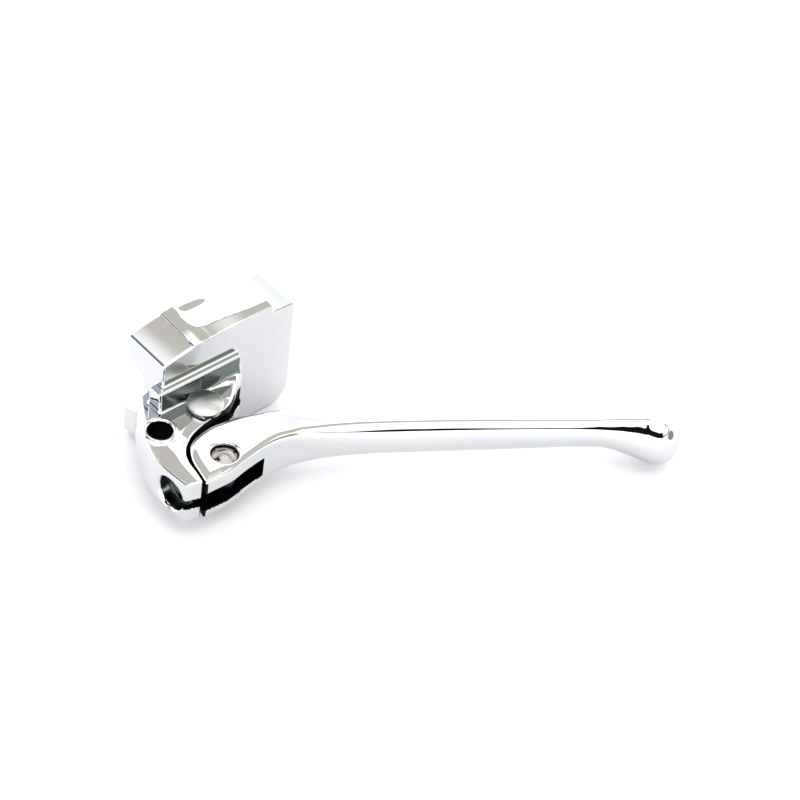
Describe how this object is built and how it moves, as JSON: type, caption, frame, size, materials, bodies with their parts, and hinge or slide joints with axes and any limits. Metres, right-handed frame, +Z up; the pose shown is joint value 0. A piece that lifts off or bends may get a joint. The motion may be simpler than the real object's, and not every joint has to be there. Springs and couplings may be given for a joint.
{
  "type": "motorcycle clutch lever assembly",
  "caption": "Chromed motorcycle clutch hand lever: ball-ended lever on a headed pivot pin in a cast perch that also carries the front switch-housing half.",
  "frame": {"origin": "on the handlebar's axis, at the inboard end face of the switch housing", "axes": "+X along the handlebar towards the grip, +Y from the parting plane back to the rider, +Z up along the pivot pin"},
  "size_m": [0.1798, 0.1448, 0.0535],
  "materials": {
    "bracket_chrome": "chrome-plated zinc-alloy die casting, mirror polished",
    "lever_chrome": "chrome-plated aluminium casting, mirror polished",
    "pin_chrome": "chrome-plated steel, polished domed head",
    "spring_steel": "plain spring steel",
    "bush_bronze": "sintered bronze",
    "anchor_steel": "nickel-plated turned steel"
  },
  "bodies": {
    "bracket": {"bracket_housing": "bracket_chrome", "pivot_pin": "pin_chrome", "pivot_retaining_ring": "spring_steel", "thrust_washer": "spring_steel"},
    "lever": {"hand_lever": "lever_chrome", "pivot_bush": "bush_bronze"},
    "anchor": {"cable_anchor_pin": "anchor_steel"}
  },
  "joints": [
    {"name": "lever_pivot", "type": "hinge", "parent": "bracket", "child": "lever", "pos_m": [0.0127, -0.0313, -0.00525], "axis": [0, 0, 1], "range_deg": [0, 27]},
    {"name": "anchor_swivel", "type": "hinge", "parent": "lever", "child": "anchor", "pos_m": [0.00415, -0.05394, -0.00525], "axis": [0, 0, 1], "range_deg": [-30, 0]}
  ],
  "couplings": [
    {"joint": "anchor_swivel", "follows": "lever_pivot", "ratio": -1}
  ]
}
